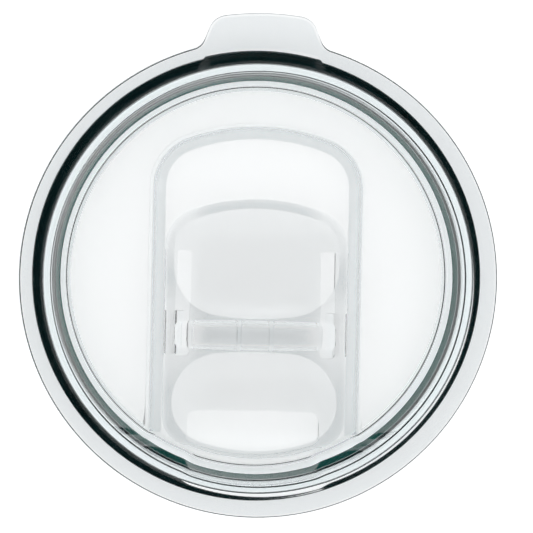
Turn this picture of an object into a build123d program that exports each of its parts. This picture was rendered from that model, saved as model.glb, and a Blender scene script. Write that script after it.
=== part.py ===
from build123d import *
import os
from math import cos, radians, sin, sqrt, tan

# Clear press-in tumbler lid with a slide closure. Millimetres, +Z up.
# The origin is on the lid's axis, level with the middle of the upper seal lip.
# The thumb tab points along +Y and the drink opening is on the -Y side.

os.makedirs("parts", exist_ok=True)

# The mouth that the lid plugs into
mouth_radius = 46.75
skirt_gap = 1.75
flange_overhang = 3.25

# Levels, measured from the origin or from each other
seat_level = 7.6
flange_thickness = 1.8
well_depth = 9.0
floor_thickness = 2.0
foot_clearance = 0.8

# Wall of the well
wall_top_inset = 1.1
wall_bottom_inset = 4.4
shoulder_round = 2.9
floor_round = 1.9
flange_edge_round = 0.7

# Inside of the skirt
skirt_root_inset = 6.1
skirt_foot_inset = 4.6
lead_in = 1.1
foot_round = 0.55

# Seal ring and its groove
groove_depth = 1.0
groove_height = 4.9
groove_top = 0.9
ring_clearance = 0.1
ring_body = 2.2
lip_height = 1.2
lip_pitch = 2.6
groove_land = 0.2
ring_round = 0.2

# Thumb tab
tab_reach = 5.5
tab_half_width = 9.8
tab_flank_angle = 22.0
tab_corner_round = 4.2
tab_root_round = 3.5
gusset_reach = 3.0
gusset_drop = 0.6
gusset_half_angle = 16.0

# Slider, seen from above, in the closed position
slider_half_width = 19.2
slider_top_y = 16.25
slider_top_arc = 40.0
slider_top_corner = 8.4
slider_bottom_corner = 6.0
slider_height = 3.4
slider_edge_round = 0.8
travel = 12.4

# Dishes and ridge of the slider
rim_width = 1.9
ridge_upper_y = -8.8
ridge_lower_y = -15.7
dish_depth = 2.1
dish_taper = 30.0
dish_corner = 6.0
fillet_share = 0.9
ridge_rise = 2.0
ridge_corner = 1.4
ridge_round = 1.2
ridge_end_inset = 2.2
ridge_skin = 1.3
ridge_hollow_half = 13.0
rib_x = 3.35
rib_thickness = 0.8

# Track recess in the floor
track_clearance = 0.25
track_slope_run = 2.3
track_depth = 2.5
track_skin = 2.0
track_end_clearance = 0.35
slider_lift = 0.15
nose_clearance = 0.3

# Pocket in the wall of the well, beside the slider's nose
pocket_step = 0.9
pocket_half_angle = 24.0

# Guide slots and the legs that run in them
leg_length = 9.1
leg_thickness = 1.5
leg_inset = 2.8
leg_lower_y = -16.6
leg_side_clearance = 0.4
leg_inner_clearance = 1.2
leg_end_clearance = 0.4
slot_round = 0.9
hook_reach = 1.4
hook_height = 1.25
hook_clearance = 0.25

# Drink opening
opening_side_edge = 5.2
opening_depth = 9.2
opening_edge = 1.0
opening_round = 2.0

# How far joined shapes run into each other, and how far cutting shapes run past a surface
overlap = 0.5
spare = 2.0

# Radii and levels that follow
skirt_radius = mouth_radius - skirt_gap
flange_radius = mouth_radius + flange_overhang
flange_top = seat_level + flange_thickness
floor_top = flange_top - well_depth
floor_under = floor_top - floor_thickness
track_floor = floor_top - track_depth
tray_under = track_floor - track_skin
wall_top = skirt_radius - wall_top_inset
wall_bottom = skirt_radius - wall_bottom_inset
groove_radius = skirt_radius - groove_depth
groove_bottom = groove_top - groove_height
hook_top = tray_under - hook_clearance
hook_bottom = hook_top - hook_height
skirt_bottom = min(hook_bottom - foot_clearance, groove_bottom - 2 * lead_in - groove_land)
skirt_root = skirt_radius - skirt_root_inset
skirt_foot = skirt_radius - skirt_foot_inset
track_end_radius = wall_bottom - floor_round
slider_end_radius = track_end_radius - nose_clearance
slider_under = track_floor + slider_lift
slider_top = slider_under + slider_height
track_half_width = slider_half_width + track_clearance
leg_outer_x = slider_half_width - leg_inset
leg_inner_x = leg_outer_x - leg_thickness
slot_inner_x = leg_inner_x - leg_inner_clearance
slot_outer_x = leg_outer_x + leg_side_clearance
slot_lower_y = leg_lower_y - leg_end_clearance
slot_length = leg_length + travel + 2 * leg_end_clearance
opening_half_width = slider_half_width - opening_side_edge


def radial_plane(angle):
    """Upright plane through the axis: its x runs outward at the angle, its y runs up."""
    out = (cos(radians(angle)), sin(radians(angle)), 0)
    side = (sin(radians(angle)), -cos(radians(angle)), 0)
    return Plane(origin=(0, 0, 0), x_dir=out, z_dir=side)


def arc_ended_face(half_width, top_y, top_radius, bottom_radius, top_corner, bottom_corner):
    """Straight sides, a domed top edge, and a bottom edge concentric with the lid."""
    side_top = top_y - top_radius + sqrt(top_radius**2 - half_width**2)
    side_bottom = -sqrt(bottom_radius**2 - half_width**2)
    with BuildSketch(Plane.XY) as outline:
        with BuildLine():
            Line((half_width, side_bottom), (half_width, side_top))
            ThreePointArc((half_width, side_top), (0, top_y), (-half_width, side_top))
            Line((-half_width, side_top), (-half_width, side_bottom))
            ThreePointArc((-half_width, side_bottom), (0, -bottom_radius), (half_width, side_bottom))
        make_face()
        fillet(outline.vertices().sort_by(Axis.Y)[2:], top_corner)
        if bottom_corner:
            fillet(outline.vertices().sort_by(Axis.Y)[:2], bottom_corner)
    return outline.sketch


def slider_outline(inset):
    """Outline of the slider, moved inward by the inset."""
    return arc_ended_face(
        slider_half_width - inset,
        slider_top_y - inset,
        slider_top_arc - inset,
        slider_end_radius - inset,
        slider_top_corner - inset,
        slider_bottom_corner - inset,
    )


def well_space(shift, bottom, base_round):
    """Half section of the air in the well, with its wall moved outward by the shift."""
    slope = (wall_top - wall_bottom) / (flange_top - floor_top)
    base = wall_bottom + shift + (bottom - floor_top) * slope
    rim = wall_top + shift
    outside = flange_radius + spare
    above = flange_top + spare
    with BuildSketch(Plane.XY) as section:
        with BuildLine():
            Polyline(
                (0, bottom),
                (base, bottom),
                (rim, flange_top),
                (outside, flange_top),
                (outside, above),
                (0, above),
                close=True,
            )
        make_face()
        fillet(section.vertices().sort_by_distance((rim, flange_top))[0], shoulder_round)
        fillet(section.vertices().sort_by_distance((base, bottom))[0], base_round)
    return section.sketch


# Lid body ------------------------------------------------------------------------------------
with BuildPart() as lid_body:
    # Flange and plug, solid to the axis
    with BuildSketch(Plane.XZ) as plug_section:
        with BuildLine():
            Polyline(
                (0, skirt_bottom),
                (skirt_radius - lead_in, skirt_bottom),
                (skirt_radius, skirt_bottom + 2 * lead_in),
                (skirt_radius, groove_bottom),
                (groove_radius, groove_bottom),
                (groove_radius, groove_top),
                (skirt_radius, groove_top),
                (skirt_radius, seat_level),
                (flange_radius, seat_level),
                (flange_radius, flange_top),
                (0, flange_top),
                close=True,
            )
        make_face()
        flange_edge = plug_section.vertices().sort_by_distance((flange_radius, flange_top))[0]
        fillet(flange_edge, flange_edge_round)
        foot_edge = plug_section.vertices().sort_by_distance((skirt_radius - lead_in, skirt_bottom))[0]
        fillet(foot_edge, foot_round)
    revolve(axis=Axis.Z)

    # Thumb tab, drawn with the flange's circle so that its roots can be rounded
    with BuildSketch(Plane.XY.offset(seat_level)) as tab_outline:
        Circle(flange_radius)
        tab_end = flange_radius + tab_reach
        tab_tip_y = sqrt(tab_end**2 - tab_half_width**2)
        tab_spread = (tab_tip_y - skirt_radius) * tan(radians(tab_flank_angle))
        tab_root_x = tab_half_width + tab_spread
        with BuildLine():
            Line((tab_root_x, skirt_radius), (tab_half_width, tab_tip_y))
            ThreePointArc((tab_half_width, tab_tip_y), (0, tab_end), (-tab_half_width, tab_tip_y))
            Line((-tab_half_width, tab_tip_y), (-tab_root_x, skirt_radius))
            Line((-tab_root_x, skirt_radius), (tab_root_x, skirt_radius))
        make_face()
        tab_tips = tab_outline.vertices().group_by(Axis.Y)[-1]
        fillet(tab_tips, tab_corner_round)
        tab_roots = tab_outline.vertices().filter_by_position(Axis.Y, skirt_radius, flange_radius)
        fillet(tab_roots, tab_root_round)
        Circle(skirt_radius - overlap, mode=Mode.SUBTRACT)
    extrude(amount=flange_thickness)

    # Sloping thickening under the tab
    with BuildSketch(radial_plane(90 - gusset_half_angle)):
        with BuildLine():
            Polyline(
                (skirt_radius + gusset_reach, seat_level),
                (skirt_radius - overlap, seat_level),
                (skirt_radius - overlap, seat_level - gusset_drop),
                (skirt_radius, seat_level - gusset_drop),
                close=True,
            )
        make_face()
    revolve(axis=Axis.Z, revolution_arc=2 * gusset_half_angle)

    # The well
    with BuildSketch(Plane.XZ):
        add(well_space(0, floor_top, floor_round))
    revolve(axis=Axis.Z, mode=Mode.SUBTRACT)

    # The hollow under the floor
    with BuildSketch(Plane.XZ) as under_section:
        with BuildLine():
            Polyline(
                (0, floor_under),
                (skirt_root, floor_under),
                (skirt_foot, skirt_bottom),
                (skirt_foot, skirt_bottom - spare),
                (0, skirt_bottom - spare),
                close=True,
            )
        make_face()
    revolve(axis=Axis.Z, mode=Mode.SUBTRACT)

    # Tray under the track, then the recess with its sloping sides
    outer_half = track_half_width + track_slope_run
    inner_top_y = slider_top_y + travel + track_end_clearance
    outer_top_y = inner_top_y + track_slope_run
    outer_arc = slider_top_arc + track_slope_run
    outer_corner = slider_top_corner + track_slope_run
    with BuildSketch(Plane.XY.offset(tray_under)):
        add(arc_ended_face(outer_half, outer_top_y, outer_arc, skirt_root + overlap, outer_corner, 0))
    extrude(amount=floor_under - tray_under + overlap)
    recess_foot = (track_half_width, inner_top_y, slider_top_arc, track_end_radius, slider_top_corner, 0)
    with BuildSketch(Plane.XY.offset(track_floor)):
        add(arc_ended_face(*recess_foot))
    with BuildSketch(Plane.XY.offset(floor_top)):
        add(arc_ended_face(outer_half, outer_top_y, outer_arc, track_end_radius, outer_corner, 0))
    loft(ruled=True, mode=Mode.SUBTRACT)

    # Wall pocket beside the slider's nose
    with BuildSketch(radial_plane(270 - pocket_half_angle)):
        add(well_space(pocket_step, track_floor, floor_round))
        Rectangle(2 * (track_end_radius - spare), 2 * flange_radius, mode=Mode.SUBTRACT)
    revolve(axis=Axis.Z, revolution_arc=2 * pocket_half_angle, mode=Mode.SUBTRACT)

    # Guide slots, square at the upper end and round at the lower end
    slot_width = slot_outer_x - slot_inner_x
    slot_middle_x = (slot_inner_x + slot_outer_x) / 2
    with BuildSketch(Plane.XY.offset(track_floor)) as slots:
        with Locations((slot_middle_x, slot_lower_y), (-slot_middle_x, slot_lower_y)):
            Rectangle(slot_width, slot_length, align=(Align.CENTER, Align.MIN))
        fillet(slots.vertices().group_by(Axis.Y)[0], slot_round)
    extrude(amount=-track_skin, mode=Mode.SUBTRACT)

    # Drink opening
    opening_outer = slider_end_radius - opening_edge
    opening_side_y = -sqrt(opening_outer**2 - opening_half_width**2)
    opening_inner_y = opening_depth - opening_outer
    with BuildSketch(Plane.XY.offset(track_floor)) as opening:
        with BuildLine():
            Line((opening_half_width, opening_side_y), (opening_half_width, opening_inner_y))
            Line((opening_half_width, opening_inner_y), (-opening_half_width, opening_inner_y))
            Line((-opening_half_width, opening_inner_y), (-opening_half_width, opening_side_y))
            ThreePointArc(
                (-opening_half_width, opening_side_y),
                (0, -opening_outer),
                (opening_half_width, opening_side_y),
            )
        make_face()
        fillet(opening.vertices(), opening_round)
    extrude(amount=-track_skin, mode=Mode.SUBTRACT)

lid_body.part.label = "lid_body"
export_step(lid_body.part, "parts/lid_body.step")

# Seal ring -----------------------------------------------------------------------------------
with BuildPart() as rim_gasket:
    ring_top = groove_top - ring_clearance
    ring_bottom = groove_bottom + ring_clearance
    with BuildSketch(Plane.XZ) as ring_section:
        with Locations((groove_radius, ring_bottom)):
            Rectangle(ring_body, ring_top - ring_bottom, align=(Align.MIN, Align.MIN))
        with Locations((groove_radius, 0), (groove_radius, -lip_pitch)):
            Rectangle(mouth_radius - groove_radius, lip_height, align=(Align.MIN, Align.CENTER))
        outer_corners = ring_section.vertices().sort_by(Axis.X)[2:]
        fillet(outer_corners, ring_round)
    revolve(axis=Axis.Z)

rim_gasket.part.label = "rim_gasket"
export_step(rim_gasket.part, "parts/rim_gasket.step")

# Slider --------------------------------------------------------------------------------------
with BuildPart() as slider:
    with BuildSketch(Plane.XY.offset(slider_under)):
        add(slider_outline(0))
    extrude(amount=slider_height)
    fillet(slider.faces().sort_by(Axis.Z)[-1].edges(), slider_edge_round)

    # Two thumb dishes
    for low_y, high_y, inner in ((ridge_upper_y, slider_top_y, 0), (-slider_end_radius, ridge_lower_y, -1)):
        with BuildSketch(Plane.XY.offset(slider_top)) as dish:
            add(slider_outline(rim_width))
            with Locations((0, (low_y + high_y) / 2)):
                Rectangle(2 * slider_half_width, high_y - low_y, mode=Mode.INTERSECT)
            ridge_corners = dish.vertices().group_by(Axis.Y)[inner]
            side_wall = dish.edges().filter_by(Axis.Y).sort_by(Axis.X)[-1]
            fillet(ridge_corners, min(dish_corner, fillet_share * side_wall.length))
        extrude(amount=-dish_depth, taper=dish_taper, mode=Mode.SUBTRACT)

    # Ridge between the dishes
    ridge_middle_y = (ridge_upper_y + ridge_lower_y) / 2
    ridge_width = ridge_upper_y - ridge_lower_y
    ridge_length = 2 * (slider_half_width - ridge_end_inset)
    ridge_top = slider_top + ridge_rise
    with BuildSketch(Plane.XY.offset(slider_top - slider_edge_round)):
        with Locations((0, ridge_middle_y)):
            RectangleRounded(ridge_length, ridge_width, ridge_corner)
    extrude(amount=ridge_rise + slider_edge_round)
    fillet(slider.faces().sort_by(Axis.Z)[-1].edges(), ridge_round)

    # Hollow under the ridge, crossed by two stiffening ribs
    with BuildSketch(Plane.XY.offset(slider_under)):
        with Locations((0, ridge_middle_y)):
            Rectangle(2 * ridge_hollow_half, ridge_width - 2 * ridge_skin)
        with Locations((rib_x, ridge_middle_y), (-rib_x, ridge_middle_y)):
            Rectangle(rib_thickness, ridge_width, mode=Mode.SUBTRACT)
    extrude(amount=ridge_top - ridge_skin - slider_under, mode=Mode.SUBTRACT)

    # Snap legs with their hooks
    for side in (1, -1):
        with BuildSketch(Plane.XZ.offset(-leg_lower_y - leg_length)):
            with BuildLine():
                Polyline(
                    (side * leg_inner_x, slider_under + overlap),
                    (side * leg_outer_x, slider_under + overlap),
                    (side * leg_outer_x, hook_top),
                    (side * (leg_outer_x + hook_reach), hook_top),
                    (side * leg_outer_x, hook_bottom),
                    (side * leg_inner_x, hook_bottom),
                    close=True,
                )
            make_face()
        extrude(amount=leg_length)

slider.part.label = "slider"
export_step(slider.part, "parts/slider.step")
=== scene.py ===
"""Clear press-in tumbler lid with a slide closure: its visible surfaces, finishes and stage."""

from math import radians

import bmesh
import bpy
import numpy as np
from mathutils import Matrix, Vector
from mathutils.geometry import tessellate_polygon


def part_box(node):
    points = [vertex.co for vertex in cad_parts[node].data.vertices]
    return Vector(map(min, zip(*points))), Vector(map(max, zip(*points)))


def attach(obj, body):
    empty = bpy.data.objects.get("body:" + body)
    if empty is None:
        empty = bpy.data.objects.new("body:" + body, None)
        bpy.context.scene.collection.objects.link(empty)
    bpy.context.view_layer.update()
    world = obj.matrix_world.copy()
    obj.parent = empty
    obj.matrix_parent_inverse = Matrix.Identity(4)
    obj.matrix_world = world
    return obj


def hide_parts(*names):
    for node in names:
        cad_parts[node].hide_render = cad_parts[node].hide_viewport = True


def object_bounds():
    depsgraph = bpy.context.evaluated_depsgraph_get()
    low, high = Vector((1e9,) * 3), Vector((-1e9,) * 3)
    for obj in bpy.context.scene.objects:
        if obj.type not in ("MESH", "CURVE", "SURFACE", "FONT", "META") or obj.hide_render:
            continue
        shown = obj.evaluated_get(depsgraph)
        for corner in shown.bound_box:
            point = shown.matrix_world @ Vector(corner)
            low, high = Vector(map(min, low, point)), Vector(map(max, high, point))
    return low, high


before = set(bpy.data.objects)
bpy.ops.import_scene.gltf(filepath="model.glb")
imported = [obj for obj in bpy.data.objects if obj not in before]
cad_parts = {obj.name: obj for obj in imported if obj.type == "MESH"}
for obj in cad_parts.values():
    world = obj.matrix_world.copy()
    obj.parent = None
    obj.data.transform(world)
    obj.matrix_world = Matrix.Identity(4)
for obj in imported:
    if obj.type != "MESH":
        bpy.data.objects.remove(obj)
cad_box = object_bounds()

bl_info = {
    "name": "Slide-closure tumbler lid",
    "version": (1, 0, 0),
    "blender": (4, 5, 0),
    "location": "3D View > Sidebar > Tumbler lid",
    "description": "Makes a clear tumbler lid with its seal ring and slide closure",
    "category": "Add Mesh",
}

# Columns round half the rim: the tab's end, tip, flank and root, the circle down to the tray, the
# strip up to the track's mouth, and the mouth's floor round to the nose
END_STEPS, TIP_STEPS, FLANK_STEPS, ROOT_STEPS, CIRCLE_STEPS, STRIP_STEPS, NOSE_STEPS = 14, 12, 6, 14, 170, 3, 45
# Rows of the floor's rounding, the wall, the shoulder and the flange's root, and of a bowl or crown
FLOOR_ROWS, WALL_ROWS, SHOULDER_ROWS, ROOT_ROWS, BOWL_ROWS = 9, 8, 13, 5, 13
# Steps round the ridge's rounding, and round the edges that are too small for more
RIDGE_STEPS, SMALL_STEPS = 8, 3
# Columns round the seal ring, and points round each corner of its section
RING_STEPS, RING_CORNER = 480, 6
# Points that round to the same place on this grid, in points per metre, are welded
WELD_GRID = 1e8
# Gap under the lid, and half the width of the stage floor
FLOOR_GAP, FLOOR_REACH = 0.0001, 3.0
# Level, as a share of the dome's height, and colour of each stop of the dome
DOME = (
    (0.0, (0.55, 0.57, 0.6)),
    (0.3, (0.85, 0.87, 0.9)),
    (0.6, (1, 1, 1)),
    (0.945, (1, 1, 1)),
    (0.97, (0, 0, 0)),
)
# Radius of an outline's side that is to look straight
ALMOST_STRAIGHT = 5.0

body_low, body_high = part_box("lid_body")
ring_low, ring_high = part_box("rim_gasket")
slider_low, slider_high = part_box("slider")


def length(name, description, default):
    """A property that holds a length in metres."""
    return bpy.props.FloatProperty(
        name=name, description=description, default=default, precision=5, subtype="DISTANCE", unit="LENGTH"
    )


def angle(name, description, degrees):
    """A property that holds an angle."""
    return bpy.props.FloatProperty(
        name=name, description=description, default=radians(degrees), subtype="ANGLE", unit="ROTATION"
    )


def colour(name, description, default):
    """A property that holds a linear colour."""
    return bpy.props.FloatVectorProperty(
        name=name, description=description, default=default, size=3, min=0, max=1, subtype="COLOR"
    )


def amount(name, description, default):
    """A property that holds a plain number."""
    return bpy.props.FloatProperty(name=name, description=description, default=default, precision=4)


class LidBodySizes(bpy.types.PropertyGroup):
    """Sizes of the clear moulded body."""

    flange_radius: length("Flange radius", "Outer radius of the flange", body_high.x)
    flange_top: length("Flange top", "Level of the flange's upper face", body_high.z)
    flange_thickness: length("Flange thickness", "Thickness of the flange", 0.0018)
    flange_edge: length("Flange edge", "Rounding of the flange's upper edge", 0.0005)
    flange_lower_edge: length("Flange lower edge", "Rounding of the flange's lower edge", 0.00025)
    tab_end: length("Tab end", "Distance from the axis to the end of the thumb tab", body_high.y)
    tab_half_width: length("Tab half width", "Half the width of the tab at its end", 0.0103)
    tab_flank: angle("Tab flank", "Lean of the tab's sides", 22)
    tab_corner: length("Tab corner", "Rounding of the tab's tips", 0.0042)
    tab_root: length("Tab root", "Rounding where the tab meets the flange", 0.0035)
    gusset: length("Gusset reach", "How far the thickening under the tab reaches outward", 0.003)
    gusset_drop: length("Gusset drop", "How far the thickening under the tab hangs down", 0.0002)
    gusset_angle: angle("Gusset angle", "Half the angle that the gusset covers", 16)
    gusset_soft: angle("Gusset ends", "Angle over which the gusset fades at each end", 5)
    root: length("Flange root", "Root rounding under the rest of the flange", 0.00025)
    well_depth: length("Well depth", "Depth from the flange to the floor", 0.009)
    wall_top: length("Wall top radius", "Radius of the well's wall at the flange", 0.0439)
    wall_bottom: length("Wall bottom radius", "Radius of the well's wall at the floor", 0.0406)
    shoulder: length("Shoulder", "Rounding from the flange into the wall", 0.0029)
    floor_round: length("Floor rounding", "Rounding from the wall into the floor", 0.0019)
    floor_thickness: length("Floor thickness", "Thickness of the floor", 0.002)
    skirt_radius: length("Skirt radius", "Outer radius of the skirt", 0.045)
    skirt_root: length("Skirt root radius", "Inner radius of the skirt under the floor", 0.0389)
    skirt_foot: length("Skirt foot radius", "Inner radius of the skirt at its foot", 0.0404)
    foot_bevel: length("Foot bevel", "Bevel at the inner side of the foot", 0.0005)
    lead_in: length("Lead-in", "Width of the sloping lead-in at the foot", 0.0011)
    groove_radius: length("Groove radius", "Radius at the bottom of the seal groove", 0.0443)
    groove_top: length("Groove top", "Level of the groove's upper side", 0.0009)
    groove_height: length("Groove height", "Height of the seal groove", 0.0049)
    pocket_step: length("Pocket step", "Depth of the wall pocket beside the slider's nose", 0.0009)
    pocket_top: amount("Pocket at the top", "Share of the pocket's depth that is left at the flange", 0.2)
    pocket_angle: angle("Pocket angle", "Half the angle that the pocket covers", 19)
    pocket_soft: angle("Pocket ends", "Angle over which the pocket fades at each end", 4)
    track_half_width: length("Track half width", "Half the width of the track's floor", 0.01945)
    track_top: length("Track top", "Where the track's floor ends towards the tab", 0.029)
    track_arc: length("Track arc", "Radius of the track's domed end", 0.04)
    track_corner: length("Track corner", "Rounding of the track's corners", 0.0084)
    track_slope: length("Track slope", "Width of the track's sloping side", 0.0023)
    track_depth: length("Track depth", "Depth of the track below the floor", 0.0025)
    track_skin: length("Track skin", "Thickness under the track", 0.002)
    tray_wall: length("Tray wall", "How far the tray under the track is wider than the track", 0.0006)
    track_edge: length("Track edge", "Rounding at both ends of the slope", 0.0006)
    slot_inner: length("Slot inner side", "Inner side of a guide slot, from the middle", 0.0137)
    slot_outer: length("Slot outer side", "Outer side of a guide slot, from the middle", 0.0168)
    slot_lower: length("Slot lower end", "Where a guide slot starts, on the drinking side", -0.017)
    slot_length: length("Slot length", "Length of a guide slot", 0.0223)
    slot_round: length("Slot rounding", "Rounding of a slot's lower corners", 0.0009)
    slot_top_round: length("Slot top rounding", "Rounding of a slot's upper corners", 0.000225)
    opening_half_width: length("Opening half width", "Half the width of the drink opening", 0.014)
    opening_radius: length("Opening radius", "Distance from the axis to the opening's outer side", 0.0374)
    opening_depth: length("Opening depth", "Size of the opening towards the axis", 0.0092)
    opening_arc: length("Opening arc", "Radius of the opening's side towards the axis", 0.5)
    opening_round: length("Opening rounding", "Rounding of the opening's corners", 0.002)


class SealRingSizes(bpy.types.PropertyGroup):
    """Sizes of the seal ring."""

    lip_radius: length("Lip radius", "Outer radius of the two lips", ring_high.x + 0.00015)
    body_radius: length("Body radius", "Outer radius between the lips", 0.0462)
    top: length("Top", "Upper side of the ring", ring_high.z)
    bottom: length("Bottom", "Lower side of the ring", ring_low.z)
    lip_height: length("Lip height", "Height of a lip", 0.0012)
    lip_pitch: length("Lip pitch", "Distance between the lips", 0.0026)
    edge: length("Edge", "Rounding of the ring's edges", 0.0002)
    bed: length("Bed", "How far the ring presses into the groove's wall", 0.00002)


class SliderSizes(bpy.types.PropertyGroup):
    """Sizes of the slide closure."""

    half_width: length("Half width", "Half the width of the slider", slider_high.x)
    top_y: length("Upper end", "Upper end of the slider, towards the tab", slider_high.y)
    end_radius: length("Nose radius", "Distance from the lid's axis to the nose", -slider_low.y)
    top_arc: length("Upper arc", "Radius of the slider's upper end", 0.04)
    top_corner: length("Upper corner", "Rounding of the upper corners", 0.0084)
    nose_corner: length("Nose corner", "Rounding of the corners at the nose", 0.006)
    under: length("Underside", "Level of the slider's underside", -0.00195)
    height: length("Height", "Height of the slider's rim", 0.0034)
    edge: length("Edge", "Rounding of the rim's outer edge", 0.0008)
    lower_edge: length("Lower edge", "Rounding of the underside's outer edge", 0.0003)
    rim: length("Rim width", "Width of the rim round the dishes", 0.0019)
    ridge_upper: length("Ridge upper side", "Upper side of the ridge", -0.0088)
    ridge_lower: length("Ridge lower side", "Lower side of the ridge", -0.0157)
    dish_depth: length("Dish depth", "Depth of the thumb dishes", 0.0014)
    dish_corner: length("Dish corner", "Rounding of a dish's corners beside the ridge", 0.0105)
    dish_nose_corner: length("Dish nose corner", "Rounding of the lower dish's corners at the nose", 0.0084)
    dish_arc: length("Dish arc", "Radius of the upper dish's side along the ridge", 0.055)
    lower_dish_arc: length("Lower dish arc", "Radius of the lower dish's side along the ridge", 0.09)
    dish_side: length("Dish side", "Radius of a dish's bowed sides", 0.12)
    ridge_gap: length("Ridge gap", "Flat strip between a dish and the ridge", 0.0003)
    ridge_end: length("Ridge end", "Distance from the slider's side to the ridge's end", 0.0022)
    ridge_arc: length("Ridge arc", "Radius of the ridge's long sides", 0.4)
    ridge_end_arc: length("Ridge end arc", "Radius of the ridge's ends", 0.06)
    ridge_corner: length("Ridge corner", "Rounding of the ridge's corners", 0.0016)
    ridge_crown: length("Ridge crown", "How far the ridge's middle stands over its edge", 0.0004)
    ridge_round: length("Ridge rounding", "Rounding along the top of the ridge", 0.0012)
    ridge_lean: length("Ridge lean", "How far the foot of the ridge's side stands out", 0.00012)
    ridge_skin: length("Ridge skin", "Wall of the hollow ridge", 0.0013)
    hollow_half: length("Hollow half length", "Half the length of the ridge's hollow", 0.013)
    hollow_round: length("Hollow rounding", "Rounding of the hollow's corners", 0.0005)
    rib_x: length("Rib place", "Distance of a stiffening rib from the middle", 0.00335)
    rib: length("Rib thickness", "Thickness of a stiffening rib", 0.0008)
    leg_outer: length("Leg outer side", "Outer side of a snap leg, from the middle", 0.0164)
    leg_thickness: length("Leg thickness", "Thickness of a snap leg", 0.0015)
    leg_lower: length("Leg lower end", "Where a leg starts, on the drinking side", -0.0166)
    leg_length: length("Leg length", "Length of a leg along the track", 0.0091)
    hook_reach: length("Hook reach", "How far a hook stands out of its leg", 0.0014)
    hook_height: length("Hook height", "Height of the hook's slanting side", 0.0009)
    hook_top: length("Hook top", "Level of the hook's upper side", -0.00435)


class LidFinishes(bpy.types.PropertyGroup):
    """Colours and finish of the lid's materials."""

    plastic_tint: colour("Plastic tint", "Colour that long paths in the plastic take", (0.6, 0.88, 0.95))
    plastic_depth: amount("Plastic absorption", "Strength of that colour, per metre", 12.0)
    # Painted shade: this grey goes into the base colour of every face with a share of the matt finish, so the
    # flange, the well's wall, the track's side and the slider's top read darker, as shade there would make them.
    haze_and_shade: colour("Haze", "Colour that the satin parts of the moulding let through", (0.615, 0.642, 0.65))
    haze_roughness: amount("Haze roughness", "Extra roughness of the satin parts", 0.08)
    plastic_index: amount("Plastic index", "Refractive index of the plastic", 1.52)
    seal: colour("Seal", "Silicone of the seal ring", (0.0012, 0.012, 0.013))
    # Painted light: the ring's inner side is coloured a lighter green than the rest, so that it shows as a green
    # line through the wall; the silicone is one colour.
    seal_inner_painted_light: colour("Seal's inner side", "Silicone where it presses on the plastic", (0.0, 0.13, 0.11))
    seal_inside: length("Seal's inner radius", "Radius inside which that colour shows", 0.0444)
    seal_blend: length("Seal's blend", "Distance over which the two colours mix", 0.0003)
    seal_grain: amount("Seal's grain", "How much lighter the silicone's grain is", 1.8)
    # The polished spots take back part of the painted grey shade and of the extra roughness near the ridge's ends,
    # so those spots read lighter.
    polished_core: length("Polished core", "Radius of the polished spots on the slider", 0.002)
    polished_reach: length("Polished reach", "Distance at which the satin finish is full again", 0.0075)
    polished_haze_and_shade: amount("Polished haze", "Share of the haze that stays in a polished spot", 0.1)
    polished_squash: amount("Polished stretch", "How much distance along Y counts", 0.6)
    floor: colour("Floor", "Stage floor", (0.93, 0.935, 0.94))
    floor_glow: amount("Floor glow", "Light that the stage floor gives off by itself", 0.66)


class StageSizes(bpy.types.PropertyGroup):
    """Camera and light."""

    view_width: length("View width", "Width that the camera sees at the lid", 0.11127)
    distance: length("Camera distance", "Distance of the camera from the lid", 3.0)
    lean_x: amount("Lean along X", "Sideways part of the camera's direction", -0.045)
    lean_y: amount("Lean along Y", "Part of the camera's direction towards the tab", 0.046)
    roll: angle("Roll", "Turn of the picture", 1.2)
    aim_x: length("Aim X", "Point that the camera looks at, along X", 0.00168)
    aim_y: length("Aim Y", "Point that the camera looks at, along Y", 0.00263)


# Shapes ------------------------------------------------------------------------------------------


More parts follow.
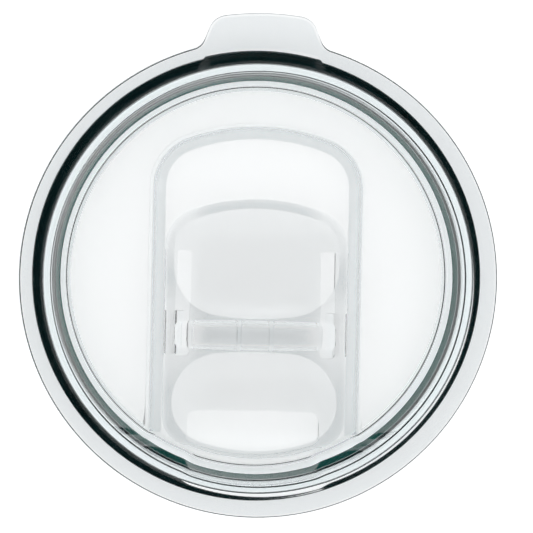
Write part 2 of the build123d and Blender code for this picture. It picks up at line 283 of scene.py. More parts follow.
class Shell:
    """Collects patches of surface and joins them into one closed mesh. Edges between patches stay
    crisp, so each patch keeps its own surface direction up to its border."""

    def __init__(self):
        self.points, self.faces, self.patches, self.haze_and_shade = [], [], [], []
        self.count = 0

    def keep(self, points, faces, haze_and_shade):
        """Stores one patch: its points, its faces as rows of point numbers, and its share of matt finish and
        painted grey shade.
        """
        self.points.append(np.asarray(points, float).reshape(-1, 3))
        self.faces += (np.asarray(faces) + self.count).tolist()
        self.patches += [len(self.points)] * len(faces)
        self.haze_and_shade += [haze_and_shade] * len(faces)
        self.count += len(self.points[-1])

    def band(self, rows, closed=True, haze_and_shade=0.0):
        """Skins a grid: each row is a curve, joined point by point to the next row."""
        rows = np.asarray(rows, float)
        height, width = rows.shape[:2]
        along = np.arange(width if closed else width - 1)[None, :]
        down = np.arange(height - 1)[:, None] * width
        after = (along + 1) % width
        quads = np.stack([down + along, down + after, down + width + after, down + width + along], -1)
        self.keep(rows, quads.reshape(-1, 4), haze_and_shade)

    def plate(self, outline, holes=(), haze_and_shade=0.0):
        """Fills a flat outline around its holes with triangles."""
        loops = [outline, *holes]
        triangles = tessellate_polygon([[Vector(point) for point in loop] for loop in loops])
        self.keep(np.concatenate(loops), triangles, haze_and_shade)

    def make(self, name):
        """Welds the patches, turns the faces outward and returns the finished object."""
        points = np.concatenate(self.points)
        keys = np.round(points * WELD_GRID).astype(np.int64)
        _, first, place = np.unique(keys, axis=0, return_index=True, return_inverse=True)
        place = place.ravel()
        faces, patches, haze_and_shade = [], [], []
        for face, patch, share in zip(self.faces, self.patches, self.haze_and_shade):
            corners = list(dict.fromkeys(place[face].tolist()))
            if len(corners) > 2:
                faces.append(corners)
                patches.append(patch)
                haze_and_shade.append(share)
        mesh = bpy.data.meshes.new(name)
        mesh.from_pydata(points[first].tolist(), [], faces)
        mesh.attributes.new("patch", "INT", "FACE").data.foreach_set("value", patches)
        mesh.attributes.new("haze_and_shade", "FLOAT", "FACE").data.foreach_set("value", haze_and_shade)
        work = bmesh.new()
        work.from_mesh(mesh)
        bmesh.ops.recalc_face_normals(work, faces=work.faces)
        work.to_mesh(mesh)
        work.free()
        mesh.shade_smooth()
        mark_crisp_edges(mesh)
        thing = bpy.data.objects.new(name, mesh)
        bpy.context.scene.collection.objects.link(thing)
        weights = thing.modifiers.new("flat faces rule the shading", "WEIGHTED_NORMAL")
        weights.keep_sharp = True
        return thing


def mark_crisp_edges(mesh):
    """Marks each edge whose two faces belong to different patches."""
    edge_of = np.zeros(len(mesh.loops), np.int32)
    mesh.loops.foreach_get("edge_index", edge_of)
    sizes = np.zeros(len(mesh.polygons), np.int32)
    mesh.polygons.foreach_get("loop_total", sizes)
    patch = np.zeros(len(mesh.polygons), np.int32)
    mesh.attributes["patch"].data.foreach_get("value", patch)
    patch_of = np.repeat(patch, sizes)
    lowest = np.full(len(mesh.edges), patch.max() + 1)
    highest = np.zeros(len(mesh.edges), int)
    np.minimum.at(lowest, edge_of, patch_of)
    np.maximum.at(highest, edge_of, patch_of)
    crisp = mesh.attributes.new("sharp_edge", "BOOLEAN", "EDGE")
    crisp.data.foreach_set("value", lowest != highest)


def at_level(outline, level):
    """Lifts a plan outline, points in x and y, to one level or to a level for each point."""
    outline = np.asarray(outline, float)
    return np.column_stack([outline, np.broadcast_to(level, len(outline))])


def toward(turn):
    """Unit directions at the given angles, counted from +X."""
    return np.stack([np.cos(turn), np.sin(turn)], -1)


def crossing(first, first_radius, second, second_radius):
    """Where two circles cross, on the left of the line from the first centre to the second: a step
    along that line by the part that the two radii fix, and a step square to it."""
    first, second = np.asarray(first, float), np.asarray(second, float)
    gap = np.linalg.norm(second - first)
    along = (gap**2 + first_radius**2 - second_radius**2) / (2 * gap)
    square = np.sqrt(first_radius**2 - along**2)
    unit = (second - first) / gap
    return first + along * unit + square * np.array([-unit[1], unit[0]])


def barrel(half_width, top, bottom, top_arc, bottom_arc, side_arc, top_corner, bottom_corner, inset=0, steps=14):
    """Closed outline with four bowed sides and rounded corners. Every point is a centre plus a
    radius less the inset along a unit direction, so a larger inset gives a parallel outline."""
    middle = (top + bottom) / 2
    upper, lower = (0, top - top_arc), (0, bottom + bottom_arc)
    side = (half_width - side_arc, middle)
    high = crossing(side, side_arc - top_corner, upper, top_arc - top_corner)
    low = crossing(lower, bottom_arc - bottom_corner, side, side_arc - bottom_corner)
    turn = [
        np.arctan2(low[1] - lower[1], low[0]),
        np.arctan2(low[1] - middle, low[0] - side[0]),
        np.arctan2(high[1] - middle, high[0] - side[0]),
        np.arctan2(high[1] - upper[1], high[0]),
    ]
    spans = [
        (lower, bottom_arc, -np.pi / 2, turn[0]),
        (low, bottom_corner, turn[0], turn[1]),
        (side, side_arc, turn[1], turn[2]),
        (high, top_corner, turn[2], turn[3]),
        (upper, top_arc, turn[3], np.pi / 2),
    ]
    right = np.concatenate(
        [
            np.asarray(centre) + (radius - inset) * toward(np.linspace(start, end, steps + 1)[:-1])
            for centre, radius, start, end in spans
        ]
    )
    peak = np.array([[0, top - inset]])
    left = right[:0:-1] * (-1, 1)
    return np.concatenate([right, peak, left])


def dome_path(half_width, top, arc, corner, foot, steps=12):
    """Open outline: up the right side from the foot, round a corner, over a domed end and down the
    left side. The corner's centre is where the side and the dome, both moved inward, cross."""
    centre_y = top - arc
    corner_x = half_width - corner
    corner_y = centre_y + np.sqrt((arc - corner) ** 2 - corner_x**2)
    lean = np.arctan2(corner_y - centre_y, corner_x)
    side = np.column_stack([np.full(steps, half_width), np.linspace(foot, corner_y, steps, endpoint=False)])
    bend = (corner_x, corner_y) + corner * toward(np.linspace(0, lean, steps, endpoint=False))
    over = (0, centre_y) + arc * toward(np.linspace(lean, np.pi / 2, steps, endpoint=False))
    right = np.concatenate([side, bend, over])
    return np.concatenate([right, [(0, top)], right[::-1] * (-1, 1)])


def box_outline(left, right, low, high, low_round, high_round, steps=6):
    """Closed upright rectangle with rounded corners, each corner a quarter circle."""
    corners = [
        (right - low_round, low + low_round, low_round, -np.pi / 2),
        (right - high_round, high - high_round, high_round, 0),
        (left + high_round, high - high_round, high_round, np.pi / 2),
        (left + low_round, low + low_round, low_round, np.pi),
    ]
    bends = [
        (x, y) + radius * toward(np.linspace(turn, turn + np.pi / 2, steps + 1)) for x, y, radius, turn in corners
    ]
    return np.concatenate(bends)


def quarter(radius, steps=6):
    """Run and drop along a quarter circle that starts level and ends upright."""
    turn = np.linspace(0, np.pi / 2, steps + 1)
    return radius * np.sin(turn), radius * (1 - np.cos(turn))


def eased_slope(width, drop, rounding, steps=5):
    """Run and drop down a straight slope whose two ends are rounded with one radius, so that both
    ends leave level. The slope's angle comes from its width and drop."""
    lean = np.arctan2(drop, width)
    reach = rounding * np.tan(lean / 2)
    turn = np.linspace(0, lean, steps + 1)
    run, fall = rounding * np.sin(turn), rounding * (1 - np.cos(turn))
    upper = np.column_stack([run - reach, fall])
    lower = np.column_stack([width + reach - run, drop - fall])[::-1]
    return np.concatenate([upper, lower])


def window(turn, half_angle, soft):
    """One inside the half angle and nought outside, eased over the soft angle as a smooth step."""
    off = np.abs((turn + np.pi) % (2 * np.pi) - np.pi)
    share = np.clip((half_angle + soft / 2 - off) / soft, 0, 1)
    return share**2 * (3 - 2 * share)


# The clear body ----------------------------------------------------------------------------------


def wall_angle(s):
    """Turn from the level floor to the leaning wall of the well."""
    return np.pi / 2 - np.arctan2(s.wall_top - s.wall_bottom, s.well_depth)


def floor_edge(s, level, shift=0):
    """Radius where the flat floor at a level ends and the rounding into the wall starts."""
    slope = (s.wall_top - s.wall_bottom) / s.well_depth
    base = s.wall_bottom + shift + (level - (s.flange_top - s.well_depth)) * slope
    return base - s.floor_round * np.tan(wall_angle(s) / 2)


def slope_rows(s):
    """Half width and level of each row down the track's side."""
    steps = eased_slope(s.track_slope, s.track_depth, s.track_edge)
    return s.track_half_width + s.track_slope - steps[:, 0], s.flange_top - s.well_depth - steps[:, 1]


def track_path(s, half_width, foot):
    """The track's outline from its foot, moved outward until its sides stand at the half width."""
    grow = half_width - s.track_half_width
    return dome_path(half_width, s.track_top + grow, s.track_arc + grow, s.track_corner + grow, foot)


def rim_columns(s):
    """The flange's outline as centres, radii and unit directions, from the end of the tab round to
    the drinking side and back: the tab's end, its tip, its flank, its root and the flange's circle.
    A point is its centre plus its radius times its direction. The columns stop at each place where
    the track's side meets the wall. Also gives the level of the floor at each column."""
    flank = toward(s.tab_flank)
    down = np.array([flank[1], -flank[0]])
    tip = np.array([s.tab_half_width, np.sqrt(s.tab_end**2 - s.tab_half_width**2)])

    def slide_to(start, radius):
        """Moves down the flank's direction until the distance from the axis is the radius."""
        half = start @ down
        return start - down * (half + np.sqrt(half**2 - start @ start + radius**2))

    tip_centre = slide_to(tip - s.tab_corner * flank, s.tab_end - s.tab_corner)
    root_centre = slide_to(tip + s.tab_root * flank, s.flange_radius + s.tab_root)
    tip_turn = np.arctan2(tip_centre[1], tip_centre[0])
    root_turn = np.arctan2(root_centre[1], root_centre[0])
    flank_top, flank_foot = tip_centre + s.tab_corner * flank, root_centre - s.tab_root * flank

    widths, levels = slope_rows(s)
    mouth = -np.arccos(widths / floor_edge(s, levels))
    tray = -np.arccos((widths[0] + s.tray_wall) / s.skirt_root)
    circle = np.concatenate(
        [
            np.linspace(root_turn, tray, CIRCLE_STEPS, endpoint=False),
            np.linspace(tray, mouth[0], STRIP_STEPS, endpoint=False),
            mouth[:-1],
            np.linspace(mouth[-1], -np.pi / 2, NOSE_STEPS, endpoint=False),
        ]
    )
    spans = []

    def add(centre, radius, turn):
        """Stores the columns of one stretch of the outline."""
        count = len(turn)
        centre = np.broadcast_to(np.asarray(centre, float), (count, 2))
        spans.append((centre, np.full(count, radius), toward(turn)))

    add((0, 0), s.tab_end, np.linspace(np.pi / 2, tip_turn, END_STEPS, endpoint=False))
    add(tip_centre, s.tab_corner, np.linspace(tip_turn, s.tab_flank, TIP_STEPS, endpoint=False))
    share = np.linspace(0, 1, FLANK_STEPS, endpoint=False)[:, None]
    add(flank_top + share * (flank_foot - flank_top), 0, np.full(FLANK_STEPS, s.tab_flank))
    add(root_centre, -s.tab_root, np.linspace(s.tab_flank, root_turn, ROOT_STEPS, endpoint=False))
    add((0, 0), s.flange_radius, circle)
    centres, radii, ways = (np.concatenate(part) for part in zip(*spans))
    foot = (np.zeros((1, 2)), np.array([s.flange_radius]), np.array([[0.0, -1.0]]))
    mirror = (centres[:0:-1] * (-1, 1), radii[:0:-1], ways[:0:-1] * (-1, 1))
    centres, radii, ways = (np.concatenate(part) for part in zip((centres, radii, ways), foot, mirror))

    tray_column = END_STEPS + TIP_STEPS + FLANK_STEPS + ROOT_STEPS + CIRCLE_STEPS
    mouth_column = tray_column + STRIP_STEPS
    half = len(centres) // 2 + 1
    level = np.full(half, s.flange_top - s.well_depth)
    level[mouth_column : mouth_column + len(levels)] = levels
    level[mouth_column + len(levels) :] = s.flange_top - s.well_depth - s.track_depth
    marks = {"tray": tray_column, "mouth": mouth_column, "track": mouth_column + len(levels) - 1}
    return centres, radii, ways, np.concatenate([level, level[-2:0:-1]]), marks


def make_lid_body(s):
    """Carries the rim's section round the columns: floor rounding, wall, shoulder, flange, edge,
    root, skirt, groove and foot, with the pocket and the gusset as eased functions of the angle.
    The floor, the track, its slots and the drink opening close the shell in the middle."""
    centres, radii, ways, level, marks = rim_columns(s)
    outline = centres + radii[:, None] * ways
    turn = np.arctan2(outline[:, 1], outline[:, 0])
    out = toward(turn)
    count = len(turn)
    shell = Shell()

    def ring(radius, height):
        """One row of the section at a radius and a height, each a number or one per column."""
        return np.column_stack([out * np.broadcast_to(radius, count)[:, None], np.broadcast_to(height, count)])

    def rim(inset, height):
        """One row parallel to the flange's outline."""
        return at_level(centres + (radii - inset)[:, None] * ways, height)

    shift = s.pocket_step * window(turn + np.pi / 2, s.pocket_angle, s.pocket_soft)
    lean = wall_angle(s)
    bends = np.linspace(0, lean, FLOOR_ROWS)

    # Floor rounding, wall and shoulder
    base_centre = floor_edge(s, level, shift)
    rows = [ring(base_centre + s.floor_round * np.sin(b), level + s.floor_round * (1 - np.cos(b))) for b in bends]
    shoulder_centre = s.wall_top + s.pocket_top * shift + s.shoulder * np.tan(lean / 2)
    shoulder = [
        ring(shoulder_centre - s.shoulder * np.sin(b), s.flange_top - s.shoulder * (1 - np.cos(b)))
        for b in np.linspace(lean, 0, SHOULDER_ROWS)
    ]
    lower, upper = rows[-1], shoulder[0]
    rows += [lower + share * (upper - lower) for share in np.linspace(0, 1, WALL_ROWS)[1:-1]]
    # The wall takes part of the matt finish and of the painted grey shade.
    shell.band(rows + shoulder[:1], haze_and_shade=0.45)
    shell.band(shoulder)
    floor_ring = rows[0]

    # Flange: upper face, edge, lower face
    in_by, down_by = quarter(s.flange_edge)
    # The flange's upper and lower faces take a matt finish and a painted grey shade, which darkens them.
    shell.band([shoulder[-1], rim(s.flange_edge, s.flange_top)], haze_and_shade=0.6)
    seat = s.flange_top - s.flange_thickness
    edge = [rim(s.flange_edge - i, s.flange_top - d) for i, d in zip(in_by, down_by)]
    in_by, down_by = quarter(s.flange_lower_edge, SMALL_STEPS)
    edge += [rim(s.flange_lower_edge - i, seat + d) for i, d in zip(in_by[::-1], down_by[::-1])]
    shell.band(edge)
    under_tab = window(turn - np.pi / 2, s.gusset_angle, s.gusset_soft)
    root_start = ring(s.skirt_radius + s.root + under_tab * (s.gusset - s.root), seat)
    shell.band([edge[-1], root_start], haze_and_shade=0.6)

    # Thickening under the tab, root rounding and the skirt down to the groove
    root_top = seat - s.gusset_drop * under_tab
    rows = [root_start]
    rows += [
        ring(s.skirt_radius + s.root * (1 - np.sin(b)), root_top - s.root * (1 - np.cos(b)))
        for b in np.linspace(0, np.pi / 2, ROOT_ROWS)
    ]
    rows.append(ring(s.skirt_radius, s.groove_top))
    shell.band(rows)

    # Groove, lead-in, foot and the skirt's leaning inner face
    groove_bottom, skirt_bottom = s.groove_top - s.groove_height, body_low.z
    floor_top = s.flange_top - s.well_depth
    floor_under, tray_under = floor_top - s.floor_thickness, floor_top - s.track_depth - s.track_skin

    def skirt_inside(height):
        """One row of the skirt's inner face."""
        share = (height - skirt_bottom) / (floor_under - skirt_bottom)
        return ring(s.skirt_foot + share * (s.skirt_root - s.skirt_foot), height)

    tray_ring, under_ring = skirt_inside(tray_under), skirt_inside(floor_under)
    skirt = [
        rows[-1],
        ring(s.groove_radius, s.groove_top),
        ring(s.groove_radius, groove_bottom),
        ring(s.skirt_radius, groove_bottom),
        ring(s.skirt_radius, skirt_bottom + 2 * s.lead_in),
        ring(s.skirt_radius - s.lead_in, skirt_bottom),
        ring(s.skirt_foot + s.foot_bevel, skirt_bottom),
        skirt_inside(skirt_bottom + s.foot_bevel),
        tray_ring,
    ]
    for upper, lower in zip(skirt, skirt[1:]):
        shell.band([upper, lower])
    tray, mouth, track = marks["tray"], marks["mouth"], marks["track"]
    outside = np.r_[count - tray : count, 0 : tray + 1]
    shell.band([tray_ring[outside], under_ring[outside]], closed=False)

    # Track: sloping side from the floor to the track's floor, its feet on the wall's columns
    widths, levels = slope_rows(s)
    slope = []
    for row, (width, height) in enumerate(zip(widths, levels)):
        path = track_path(s, width, floor_ring[mouth + row, 1])
        path[0], path[-1] = floor_ring[mouth + row, :2], floor_ring[-mouth - row, :2]
        slope.append(at_level(path, height))
    # The track's side takes the full matt finish and painted grey shade, so it shows as a darker band.
    shell.band(slope, closed=False, haze_and_shade=1.0)

    # Floor round the track, above and below
    around = np.r_[count - mouth : count, 0 : mouth + 1]
    shell.plate(np.concatenate([floor_ring[around], slope[0][1:-1]]))
    tray_path = track_path(s, widths[0] + s.tray_wall, under_ring[tray, 1])
    tray_top, tray_bottom = at_level(tray_path, floor_under), at_level(tray_path, tray_under)
    for end, column in ((0, tray), (-1, count - tray)):
        tray_top[end], tray_bottom[end] = under_ring[column], tray_ring[column]
    shell.plate(np.concatenate([under_ring[outside], tray_top[1:-1]]))
    shell.band([tray_top, tray_bottom], closed=False)

    # Slots and drink opening
    track_floor = levels[-1]
    openings = []
    for side in (1, -1):
        left, right = sorted((side * s.slot_inner, side * s.slot_outer))
        slot_top = s.slot_lower + s.slot_length
        openings.append(box_outline(left, right, s.slot_lower, slot_top, s.slot_round, s.slot_top_round))
    mouth_top = s.opening_depth - s.opening_radius
    openings.append(
        barrel(
            s.opening_half_width, mouth_top, -s.opening_radius, s.opening_arc, s.opening_radius,
            ALMOST_STRAIGHT, s.opening_round, s.opening_round,
        )
    )
    for hole in openings:
        shell.band([at_level(hole, track_floor), at_level(hole, tray_under)])
    faces = ((floor_ring, track, slope[-1], track_floor), (tray_ring, tray, tray_bottom, tray_under))
    for rim_row, first, path, height in faces:
        edge_points = np.concatenate([rim_row[first : count - first + 1], path[1:-1][::-1]])
        shell.plate(edge_points, [at_level(hole, height) for hole in openings])
    return shell.make("clear_body")


def make_seal_ring(s, groove_radius):
    """Turns the ring's section about the axis: a plain inner face, and an outer face with two lips,
    every outer corner a quarter circle."""
    corners = [(groove_radius - s.bed, s.bottom), (s.body_radius, s.bottom)]
    for middle in (-s.lip_pitch, 0):
        low, high = middle - s.lip_height / 2, middle + s.lip_height / 2
        corners += [(s.body_radius, low), (s.lip_radius, low), (s.lip_radius, high), (s.body_radius, high)]
    corners += [(s.body_radius, s.top), (groove_radius - s.bed, s.top)]
    corners = np.array(corners)
    before, after = np.roll(corners, 1, 0), np.roll(corners, -1, 0)

    def unit(step):
        """Steps cut to a length of one."""
        return step / np.linalg.norm(step, axis=1)[:, None]

    back, ahead = unit(before - corners), unit(after - corners)
    share = np.linspace(0, np.pi / 2, RING_CORNER)[None, :, None]
    middle = corners + s.edge * (back + ahead)
    bends = middle[:, None] - s.edge * (ahead[:, None] * np.cos(share) + back[:, None] * np.sin(share))
    section = bends.reshape(-1, 2)
    turn = np.linspace(0, 2 * np.pi, RING_STEPS, endpoint=False)
    rows = np.stack(
        [
            section[:, :1] * np.cos(turn),
            section[:, :1] * np.sin(turn),
            np.broadcast_to(section[:, 1:], (len(section), len(turn))),
        ],
        -1,
    )
    shell = Shell()
    shell.band(np.concatenate([rows, rows[:1]]))
    return shell.make("seal_ring")


# The slider --------------------------------------------------------------------------------------


def closing_rows(outline, level, rise):
    """Rows that shrink an outline to its middle while the level changes by the rise times one less
    the square of the size, so that the surface is a shallow bowl or crown."""
    middle = np.array([0, (outline[:, 1].max() + outline[:, 1].min()) / 2])
    sizes = np.linspace(1, 0, BOWL_ROWS)
    return [at_level(middle + size * (outline - middle), level + rise * (1 - size**2)) for size in sizes]


def make_slider(s):
    """Builds the slider from parallel outlines: its edge, a rim with two dishes and the ridge, and an
    underside with the ridge's hollow and two legs with hooks."""
    top = s.under + s.height
    shell = Shell()

    def outer(inset):
        """The slider's own outline, moved inward."""
        return barrel(
            s.half_width, s.top_y, -s.end_radius, s.top_arc, s.end_radius,
            ALMOST_STRAIGHT, s.top_corner, s.nose_corner, inset,
        )

    in_by, down_by = quarter(s.edge)
    low_in, low_down = quarter(s.lower_edge, SMALL_STEPS)
    rows = [at_level(outer(s.edge - i), top - d) for i, d in zip(in_by, down_by)]
    # The slider's edge, rim and ridge take a matt finish and a painted grey shade.
    shell.band(rows, haze_and_shade=0.8)
    foot = [at_level(outer(s.lower_edge - i), s.under + d) for i, d in zip(low_in[::-1], low_down[::-1])]
    shell.band(rows[-1:] + foot)

    # Dishes
    holes = []
    nose_radius = s.end_radius - s.rim
    arcs = (
        (s.top_y - s.rim, s.ridge_upper, s.top_arc - s.rim, s.dish_arc, s.top_corner - s.rim, s.dish_corner),
        (s.ridge_lower, -nose_radius, s.lower_dish_arc, nose_radius, s.dish_corner, s.dish_nose_corner),
    )
    for high, low, high_arc, low_arc, high_corner, low_corner in arcs:
        dish = barrel(s.half_width - s.rim, high, low, high_arc, low_arc, s.dish_side, high_corner, low_corner)
        shell.band(closing_rows(dish, top, -s.dish_depth))
        holes.append(at_level(dish, top))

    # Ridge
    ridge_top = slider_high.z
    half = s.half_width - s.ridge_end

    def ridge(inset):
        """The ridge's outline, moved inward."""
        high, low = s.ridge_upper - s.ridge_gap, s.ridge_lower + s.ridge_gap
        corner = s.ridge_corner
        return barrel(half, high, low, s.ridge_arc, s.ridge_arc, s.ridge_end_arc, corner, corner, inset)

    def arched(row):
        """Takes the ridge's height down to nothing at its ends: the height is multiplied by one less
        the cube of the distance from the middle, as a share of half the ridge's length."""
        share = 1 - (np.abs(row[:, :1]) / half) ** 3
        return np.hstack([row[:, :2], top + (row[:, 2:] - top) * share])

    in_by, down_by = quarter(s.ridge_round, RIDGE_STEPS)
    shoulder = ridge_top - s.ridge_crown
    rows = [at_level(ridge(0), top)]
    rows += [
        at_level(ridge(s.ridge_lean + s.ridge_round - i), shoulder - d) for i, d in zip(in_by[::-1], down_by[::-1])
    ]
    crown = closing_rows(rows[-1][:, :2], shoulder, s.ridge_crown)
    shell.band([arched(row) for row in rows], haze_and_shade=0.6)
    shell.band([arched(row) for row in crown], haze_and_shade=1.0)
    holes.append(rows[0])
    shell.plate(at_level(outer(s.edge), top), holes, haze_and_shade=0.8)

    # Underside with the ridge's hollow
    holes = []
    low, high = s.ridge_lower + s.ridge_skin, s.ridge_upper - s.ridge_skin
    inner, outer_side = s.rib_x - s.rib / 2, s.rib_x + s.rib / 2
    for left, right in ((-s.hollow_half, -outer_side), (-inner, inner), (outer_side, s.hollow_half)):
        pocket = box_outline(left, right, low, high, s.hollow_round, s.hollow_round)
        ceiling = at_level(pocket, ridge_top - s.ridge_skin)
        shell.band([at_level(pocket, s.under), ceiling])
        shell.plate(ceiling)
        holes.append(at_level(pocket, s.under))

    # Legs with hooks
    leg_inner = s.leg_outer - s.leg_thickness
    hook_bottom = slider_low.z
    section = [
        (s.leg_outer, s.under),
        (s.leg_outer, s.hook_top),
        (s.leg_outer + s.hook_reach, s.hook_top),
        (s.leg_outer, s.hook_top - s.hook_height),
        (s.leg_outer, hook_bottom),
        (leg_inner, hook_bottom),
        (leg_inner, s.under),
    ]
    for side in (1, -1):
        ends = [
            np.array([(side * x, y, z) for x, z in section])
            for y in (s.leg_lower, s.leg_lower + s.leg_length)
        ]
        for step in range(len(section) - 1):
            sides = [[ends[0][step], ends[0][step + 1]], [ends[1][step], ends[1][step + 1]]]
            shell.band(sides, closed=False)
        shell.plate(ends[0])
        shell.plate(ends[1])
        holes.append(np.array([ends[0][0], ends[0][-1], ends[1][-1], ends[1][0]]))
    shell.plate(at_level(outer(s.lower_edge), s.under), holes)
    return shell.make("clear_slider")


# Finishes ----------------------------------------------------------------------------------------


def new_material(name):
    """A node material, with its tree and its main shader."""
    material = bpy.data.materials.new(name)
    material.use_nodes = True
    tree = material.node_tree
    return material, tree, tree.nodes["Principled BSDF"]


def fixed_noise(tree, place, scale, detail):
    """Noise that stays fixed to the piece, its scale in cells per metre."""
    noise = tree.nodes.new("ShaderNodeTexNoise")
    noise.inputs["Scale"].default_value = scale
    noise.inputs["Detail"].default_value = detail
    tree.links.new(place.outputs["Object"], noise.inputs["Vector"])
    return noise.outputs["Fac"]


def spread(tree, share, low, high):
    """Maps a share onto a range: the low value at nought and the high value at one."""
    scale = tree.nodes.new("ShaderNodeMapRange")
    scale.inputs["To Min"].default_value = low
    scale.inputs["To Max"].default_value = high
    tree.links.new(share, scale.inputs["Value"])
    return scale.outputs["Result"]


def mixed(tree, share, first, second):
    """Mixes a first colour, three numbers or a node's output, with a second one by a share."""
    mix = tree.nodes.new("ShaderNodeMix")
    mix.data_type = "RGBA"
    if isinstance(first, bpy.types.NodeSocket):
        tree.links.new(first, mix.inputs["A"])
    else:
        mix.inputs["A"].default_value = (*first, 1)
    mix.inputs["B"].default_value = (*second, 1)
    tree.links.new(share, mix.inputs["Factor"])
    return mix.outputs["Result"]


def relief(tree, shader, height, strength, depth):
    """Bends the direction of the shader's surface by a pattern of heights."""
    bump = tree.nodes.new("ShaderNodeBump")
    bump.inputs["Strength"].default_value = strength
    bump.inputs["Distance"].default_value = depth
    tree.links.new(height, bump.inputs["Height"])
    tree.links.new(bump.outputs["Normal"], shader.inputs["Normal"])


def vector_step(tree, operation, source, other=(0, 0, 0)):
    """One step of vector arithmetic on a node's output, with a fixed second vector."""
    step = tree.nodes.new("ShaderNodeVectorMath")
    step.operation = operation
    step.inputs[1].default_value = other
    tree.links.new(source, step.inputs[0])
    return step.outputs["Value" if operation in ("LENGTH", "DISTANCE") else "Vector"]


def fade_at(tree, place, finishes, spot):
    """A value that is low near a spot and its mirror image in X, and one further off. The distance
    along Y counts for less, so that the polished spot is longer along Y."""
    squash = finishes.polished_squash
    mirror = vector_step(tree, "ABSOLUTE", place.outputs["Object"])
    squashed = vector_step(tree, "MULTIPLY", mirror, (1, squash, 0))
    gap = vector_step(tree, "DISTANCE", squashed, (spot[0], abs(spot[1]) * squash, 0))
    share = tree.nodes.new("ShaderNodeMapRange")
    share.interpolation_type = "SMOOTHSTEP"
    share.inputs["From Min"].default_value = finishes.polished_core
    share.inputs["From Max"].default_value = finishes.polished_reach
    share.inputs["To Min"].default_value = finishes.polished_haze_and_shade
    tree.links.new(gap, share.inputs["Value"])
    return share.outputs["Result"]


def clear_plastic(finishes, polished=None):
    """Clear moulded plastic: a polished refracting surface with the faint unevenness of a mould, and a pale
    green-blue tint that shows where light goes a long way through it. Faces with a share of the matt finish are
    rougher and also take a painted grey shade in their base colour, which darkens them; both fade at the polished
    spot, where one is given."""
    material, tree, shader = new_material("clear_plastic")
    shader.inputs["Transmission Weight"].default_value = 1
    shader.inputs["IOR"].default_value = finishes.plastic_index
    place = tree.nodes.new("ShaderNodeTexCoord")
    haze_and_shade = tree.nodes.new("ShaderNodeAttribute")
    haze_and_shade.attribute_name = "haze_and_shade"
    satin_and_shade = haze_and_shade.outputs["Fac"]
    if polished:
        faded = tree.nodes.new("ShaderNodeMath")
        faded.operation = "MULTIPLY"
        tree.links.new(satin_and_shade, faded.inputs[0])
        tree.links.new(fade_at(tree, place, finishes, polished), faded.inputs[1])
        satin_and_shade = faded.outputs["Value"]
    # Painted shade: each face's share mixes grey into the base colour, darkening what shows through it; the same
    # share adds roughness below.
    tree.links.new(mixed(tree, satin_and_shade, (1, 1, 1), finishes.haze_and_shade), shader.inputs["Base Color"])
    matt = tree.nodes.new("ShaderNodeMath")
    matt.operation = "MULTIPLY_ADD"
    matt.inputs[1].default_value = finishes.haze_roughness
    tree.links.new(satin_and_shade, matt.inputs[0])
    polish = spread(tree, fixed_noise(tree, place, scale=260, detail=3), low=0.012, high=0.045)
    tree.links.new(polish, matt.inputs[2])
    tree.links.new(matt.outputs["Value"], shader.inputs["Roughness"])
    relief(tree, shader, fixed_noise(tree, place, scale=55, detail=1), strength=0.03, depth=0.0002)
    tint = tree.nodes.new("ShaderNodeVolumeAbsorption")
    tint.inputs["Color"].default_value = (*finishes.plastic_tint, 1)
    tint.inputs["Density"].default_value = finishes.plastic_depth
    tree.links.new(tint.outputs["Volume"], tree.nodes["Material Output"].inputs["Volume"])
    return material


def seal_silicone(finishes):
    """Dark silicone: a half-matt skin with a fine matt grain, and painted light on its inner side: a lighter green
    there, which shows as a green line through the plastic, though the ring is one silicone."""
    material, tree, shader = new_material("seal_silicone")
    shader.inputs["Specular IOR Level"].default_value = 0.06
    place = tree.nodes.new("ShaderNodeTexCoord")
    grain = fixed_noise(tree, place, scale=400, detail=2)
    light_grain = [channel * finishes.seal_grain for channel in finishes.seal]
    outer = mixed(tree, grain, finishes.seal, light_grain)
    plan = vector_step(tree, "MULTIPLY", place.outputs["Object"], (1, 1, 0))
    inside = tree.nodes.new("ShaderNodeMapRange")
    inside.inputs["From Min"].default_value = finishes.seal_inside + finishes.seal_blend
    inside.inputs["From Max"].default_value = finishes.seal_inside
    tree.links.new(vector_step(tree, "LENGTH", plan), inside.inputs["Value"])
    # Painted light: inside that radius the lighter green replaces the silicone's own colour.
    both = mixed(tree, inside.outputs["Result"], outer, finishes.seal_inner_painted_light)
    tree.links.new(both, shader.inputs["Base Color"])
    tree.links.new(spread(tree, grain, low=0.38, high=0.55), shader.inputs["Roughness"])
    relief(tree, shader, grain, strength=0.12, depth=0.00004)
    return material


def stand_in(piece, node, body, material):
    """Gives a piece its material, puts it in a CAD node's place and lets it move with its body."""
    piece.data.materials.append(material)
    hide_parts(node)
    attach(piece, body)


# Operators ---------------------------------------------------------------------------------------


class LID_OT_body(bpy.types.Operator):
    """Make the clear body with its flange, well, track and drink opening"""

    bl_idname = "lid.make_body"
    bl_label = "Clear body"

    def execute(self, context):
        piece = make_lid_body(context.scene.lid_body_sizes)
        stand_in(piece, "lid_body", "lid", clear_plastic(context.scene.lid_finishes))
        return {"FINISHED"}


class LID_OT_seal(bpy.types.Operator):
    """Make the silicone seal ring in its groove"""

    bl_idname = "lid.make_seal"
    bl_label = "Seal ring"

    def execute(self, context):
        scene = context.scene
        piece = make_seal_ring(scene.seal_ring_sizes, scene.lid_body_sizes.groove_radius)
        stand_in(piece, "rim_gasket", "lid", seal_silicone(scene.lid_finishes))
        return {"FINISHED"}


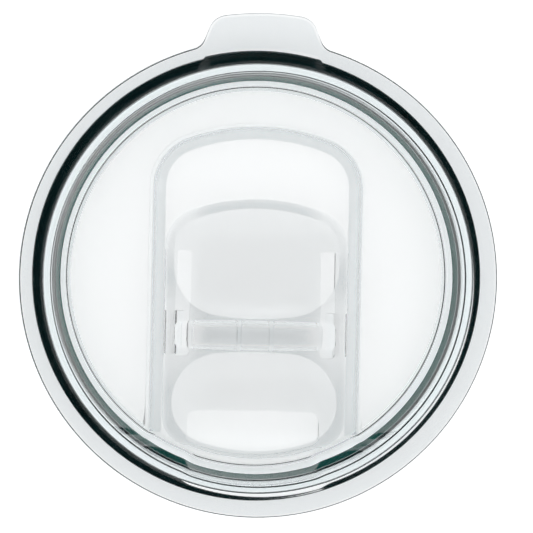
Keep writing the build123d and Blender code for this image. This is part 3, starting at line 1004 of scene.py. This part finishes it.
class LID_OT_slider(bpy.types.Operator):
    """Make the clear slide closure"""

    bl_idname = "lid.make_slider"
    bl_label = "Slide closure"

    def execute(self, context):
        sizes = context.scene.slider_sizes
        piece = make_slider(sizes)
        ridge_end = (sizes.half_width - sizes.ridge_end, (sizes.ridge_upper + sizes.ridge_lower) / 2)
        material = clear_plastic(context.scene.lid_finishes, ridge_end)
        stand_in(piece, "slider", "slider", material)
        return {"FINISHED"}


class LID_OT_stage(bpy.types.Operator):
    """Make the floor, the soft light and the camera"""

    bl_idname = "lid.make_stage"
    bl_label = "Stage"

    def execute(self, context):
        scene = context.scene
        make_floor(scene.lid_finishes)
        make_light(scene)
        make_camera(scene, scene.stage_sizes)
        return {"FINISHED"}


def make_floor(finishes):
    """A wide pale plane just under the lid."""
    level, reach = cad_box[0][2] - FLOOR_GAP, FLOOR_REACH
    corners = [(-reach, -reach, level), (reach, -reach, level), (reach, reach, level), (-reach, reach, level)]
    mesh = bpy.data.meshes.new("stage_floor")
    mesh.from_pydata(corners, [], [(0, 1, 2, 3)])
    floor = bpy.data.objects.new("stage_floor", mesh)
    bpy.context.scene.collection.objects.link(floor)
    material, tree, shader = new_material("stage_paper")
    shader.inputs["Base Color"].default_value = (*finishes.floor, 1)
    shader.inputs["Roughness"].default_value = 0.9
    shader.inputs["Specular IOR Level"].default_value = 0.1
    shader.inputs["Emission Color"].default_value = (1, 1, 1, 1)
    shader.inputs["Emission Strength"].default_value = finishes.floor_glow
    mesh.materials.append(material)


def make_light(scene):
    """Soft light from all round, from a pale dome that is dim near the floor and straight above."""
    world = bpy.data.worlds.new("soft_dome")
    scene.world = world
    world.use_nodes = True
    tree = world.node_tree
    dome = tree.nodes["Background"]
    place = tree.nodes.new("ShaderNodeTexCoord")
    split = tree.nodes.new("ShaderNodeSeparateXYZ")
    ramp = tree.nodes.new("ShaderNodeValToRGB")
    ends = ramp.color_ramp.elements
    while len(ends) < len(DOME):
        ends.new(0.5)
    for stop, (position, shade) in zip(ends, DOME):
        stop.position = position
        stop.color = (*shade, 1)
    tree.links.new(place.outputs["Generated"], split.inputs[0])
    tree.links.new(split.outputs["Z"], ramp.inputs["Fac"])
    tree.links.new(ramp.outputs["Color"], dome.inputs["Color"])
    dome.inputs["Strength"].default_value = 0.85
    scene.view_settings.view_transform = "Standard"


def make_camera(scene, s):
    """A long lens that looks almost straight down, with the tab towards the top of the picture."""
    camera = bpy.data.cameras.new("camera")
    camera.lens = camera.sensor_width * s.distance / s.view_width
    camera.clip_start, camera.clip_end = 0.01, 20
    thing = bpy.data.objects.new("camera", camera)
    scene.collection.objects.link(thing)
    way = Vector((s.lean_x, s.lean_y, 1)).normalized()
    target = Vector((s.aim_x, s.aim_y, body_high.z))
    up = Vector((-np.sin(s.roll), np.cos(s.roll), 0))
    right = up.cross(way).normalized()
    up = way.cross(right)
    turned = Matrix((right, up, way)).transposed().to_4x4()
    thing.matrix_world = Matrix.Translation(target + way * s.distance) @ turned
    scene.camera = thing


class LID_PT_panel(bpy.types.Panel):
    """Lists the lid's pieces"""

    bl_label = "Tumbler lid"
    bl_space_type = "VIEW_3D"
    bl_region_type = "UI"
    bl_category = "Tumbler lid"

    def draw(self, context):
        for operator in OPERATORS:
            self.layout.operator(operator.bl_idname)


OPERATORS = (LID_OT_body, LID_OT_seal, LID_OT_slider, LID_OT_stage)
GROUPS = {
    "lid_body_sizes": LidBodySizes,
    "seal_ring_sizes": SealRingSizes,
    "slider_sizes": SliderSizes,
    "lid_finishes": LidFinishes,
    "stage_sizes": StageSizes,
}


def register():
    """Registers the classes and puts the sizes on the scene."""
    for group in GROUPS.values():
        bpy.utils.register_class(group)
    for name, group in GROUPS.items():
        setattr(bpy.types.Scene, name, bpy.props.PointerProperty(type=group))
    for item in (*OPERATORS, LID_PT_panel):
        bpy.utils.register_class(item)


def unregister():
    """Takes the sizes off the scene and unregisters the classes."""
    for item in (LID_PT_panel, *OPERATORS):
        bpy.utils.unregister_class(item)
    for name, group in GROUPS.items():
        delattr(bpy.types.Scene, name)
        bpy.utils.unregister_class(group)


def main():
    """Makes every piece and the stage."""
    register()
    bpy.ops.lid.make_body()
    bpy.ops.lid.make_seal()
    bpy.ops.lid.make_slider()
    bpy.ops.lid.make_stage()


if __name__ == "__main__":
    main()
